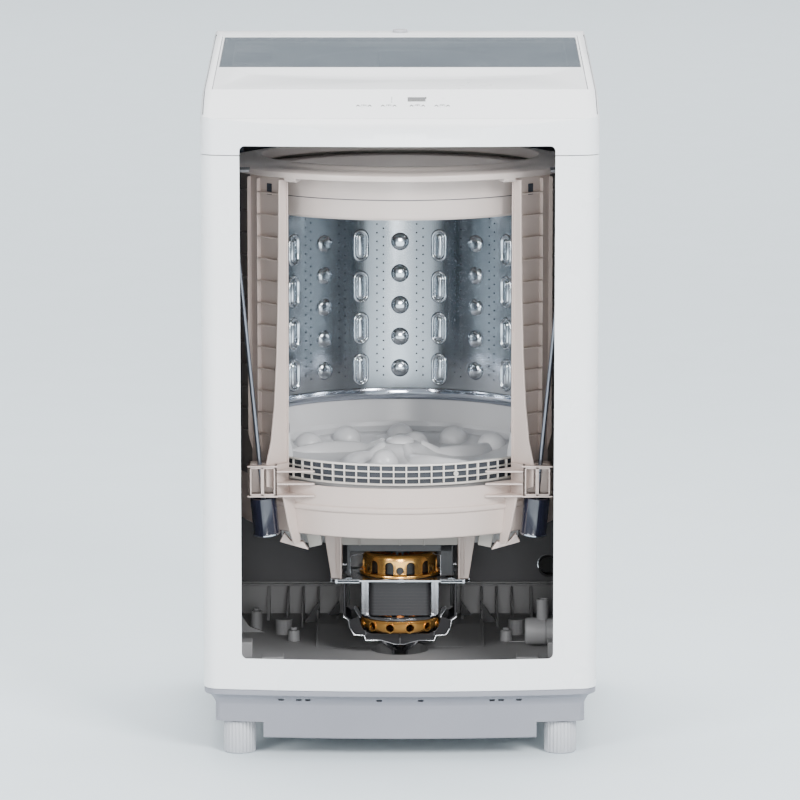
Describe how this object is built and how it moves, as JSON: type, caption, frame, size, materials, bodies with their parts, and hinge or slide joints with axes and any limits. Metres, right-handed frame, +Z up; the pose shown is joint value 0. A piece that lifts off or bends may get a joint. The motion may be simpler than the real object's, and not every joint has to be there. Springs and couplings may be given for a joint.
{
  "type": "top load washing machine",
  "caption": "Top load washing machine with a bowed white cabinet cut away in front to show the suspended tub, drum, pulsator and motor, and a hinged glass lid.",
  "frame": {"origin": "on the floor under the middle of the overall box", "axes": "+Z up, front towards -Y, +X to the right seen from the front"},
  "size_m": [0.53, 0.54, 0.947],
  "materials": {
    "white_panel": "gloss white paint",
    "white_plastic": "satin white",
    "grey_plastic": "fine matt grey",
    "foot_plastic": "light grey",
    "dark_plastic": "dark grey matt",
    "tub_plastic": "warm greige moulded",
    "drum_plastic": "light grey moulded",
    "stainless": "bright pressed stainless",
    "chrome": "polished",
    "steel": "zinc plated",
    "aluminium": "die cast",
    "gold_paint": "gold passivated steel",
    "copper": "lacquered copper wire",
    "black_metal": "satin black",
    "stator_black": "dark laminated steel",
    "navy_gloss": "dark navy gloss",
    "rubber": "black",
    "glass": "tinted blue grey",
    "display_black": "smoked black",
    "board_green": "solder mask green"
  },
  "bodies": {
    "root": {"cabinet": "white_panel", "rear_panel": "white_panel", "base_plinth": "grey_plastic", "base_pan": "dark_plastic", "top_cover": "white_plastic", "lid_hinge_pin_left": "steel", "lid_hinge_pin_right": "steel", "display_window": "display_black", "control_board": "board_green", "water_inlet_valve": "grey_plastic", "detergent_box": "drum_plastic", "softener_box": "drum_plastic", "cord_gland": "rubber", "drain_outlet": "grey_plastic", "drain_pump": "grey_plastic", "suspension_rod_front_left": "steel", "hanger_bracket_front_left": "steel", "suspension_rod_rear_left": "steel", "hanger_bracket_rear_left": "steel", "suspension_rod_front_right": "steel", "hanger_bracket_front_right": "steel", "suspension_rod_rear_right": "steel", "hanger_bracket_rear_right": "steel"},
    "lid": {"lid_frame": "white_plastic", "lid_glass": "glass"},
    "tub": {"outer_tub": "tub_plastic", "tub_cover": "tub_plastic", "damper_cup_front_left": "navy_gloss", "damper_cup_front_right": "navy_gloss", "damper_cup_rear_left": "navy_gloss", "damper_cup_rear_right": "navy_gloss", "main_bearing": "steel", "main_seal": "rubber", "clutch_housing": "gold_paint", "motor_mount_plate": "aluminium", "stator": "stator_black", "motor_frame": "aluminium", "winding_upper": "copper", "winding_lower": "copper", "motor_lower_bell": "gold_paint", "motor_bracket": "black_metal", "motor_hub": "aluminium"},
    "drum": {"drum_shell": "stainless", "drum_trim_ring": "chrome", "balance_ring": "tub_plastic", "drum_base": "drum_plastic", "drum_flange": "aluminium", "spin_tube": "steel"},
    "pulsator": {"pulsator": "drum_plastic", "pulsator_cap": "drum_plastic", "drive_shaft": "steel", "rotor": "steel"},
    "button_power": {"button_power": "white_plastic"},
    "button_program": {"button_program": "white_plastic"},
    "button_level": {"button_level": "white_plastic"},
    "button_start": {"button_start": "white_plastic"},
    "foot_front_left": {"foot_front_left": "foot_plastic"},
    "foot_front_right": {"foot_front_right": "foot_plastic"},
    "foot_rear_left": {"foot_rear_left": "foot_plastic"},
    "foot_rear_right": {"foot_rear_right": "foot_plastic"}
  },
  "joints": [
    {"name": "lid_hinge", "type": "hinge", "parent": "root", "child": "lid", "pos_m": [0, 0.20405, 0.93324], "axis": [-1, 0, 0], "range_deg": [0, 95]},
    {"name": "tub_bounce", "type": "slide", "parent": "root", "child": "tub", "axis": [0, 0, 1], "range_m": [-0.015, 0.008], "stiffness_N_per_m": 9000, "springref_m": 0.02018},
    {"name": "drum_spin", "type": "hinge", "parent": "tub", "child": "drum", "pos_m": [0, 0, 0.335], "axis": [0, 0, 1], "continuous": true},
    {"name": "pulsator_spin", "type": "hinge", "parent": "tub", "child": "pulsator", "pos_m": [0, 0, 0.375], "axis": [0, 0, 1], "continuous": true},
    {"name": "button_power_press", "type": "slide", "parent": "root", "child": "button_power", "axis": [0, 0.3805, -0.9248], "range_m": [0, 0.0012], "stiffness_N_per_m": 400},
    {"name": "button_program_press", "type": "slide", "parent": "root", "child": "button_program", "axis": [0, 0.3805, -0.9248], "range_m": [0, 0.0012], "stiffness_N_per_m": 400},
    {"name": "button_level_press", "type": "slide", "parent": "root", "child": "button_level", "axis": [0, 0.3805, -0.9248], "range_m": [0, 0.0012], "stiffness_N_per_m": 400},
    {"name": "button_start_press", "type": "slide", "parent": "root", "child": "button_start", "axis": [0, 0.3805, -0.9248], "range_m": [0, 0.0012], "stiffness_N_per_m": 400},
    {"name": "foot_front_left_level", "type": "hinge", "parent": "root", "child": "foot_front_left", "pos_m": [-0.217, -0.212, 0.022], "axis": [0, 0, 1], "range_deg": [-360, 360]},
    {"name": "foot_front_right_level", "type": "hinge", "parent": "root", "child": "foot_front_right", "pos_m": [0.217, -0.212, 0.022], "axis": [0, 0, 1], "range_deg": [-360, 360]},
    {"name": "foot_rear_left_level", "type": "hinge", "parent": "root", "child": "foot_rear_left", "pos_m": [-0.217, 0.212, 0.022], "axis": [0, 0, 1], "range_deg": [-360, 360]},
    {"name": "foot_rear_right_level", "type": "hinge", "parent": "root", "child": "foot_rear_right", "pos_m": [0.217, 0.212, 0.022], "axis": [0, 0, 1], "range_deg": [-360, 360]}
  ]
}
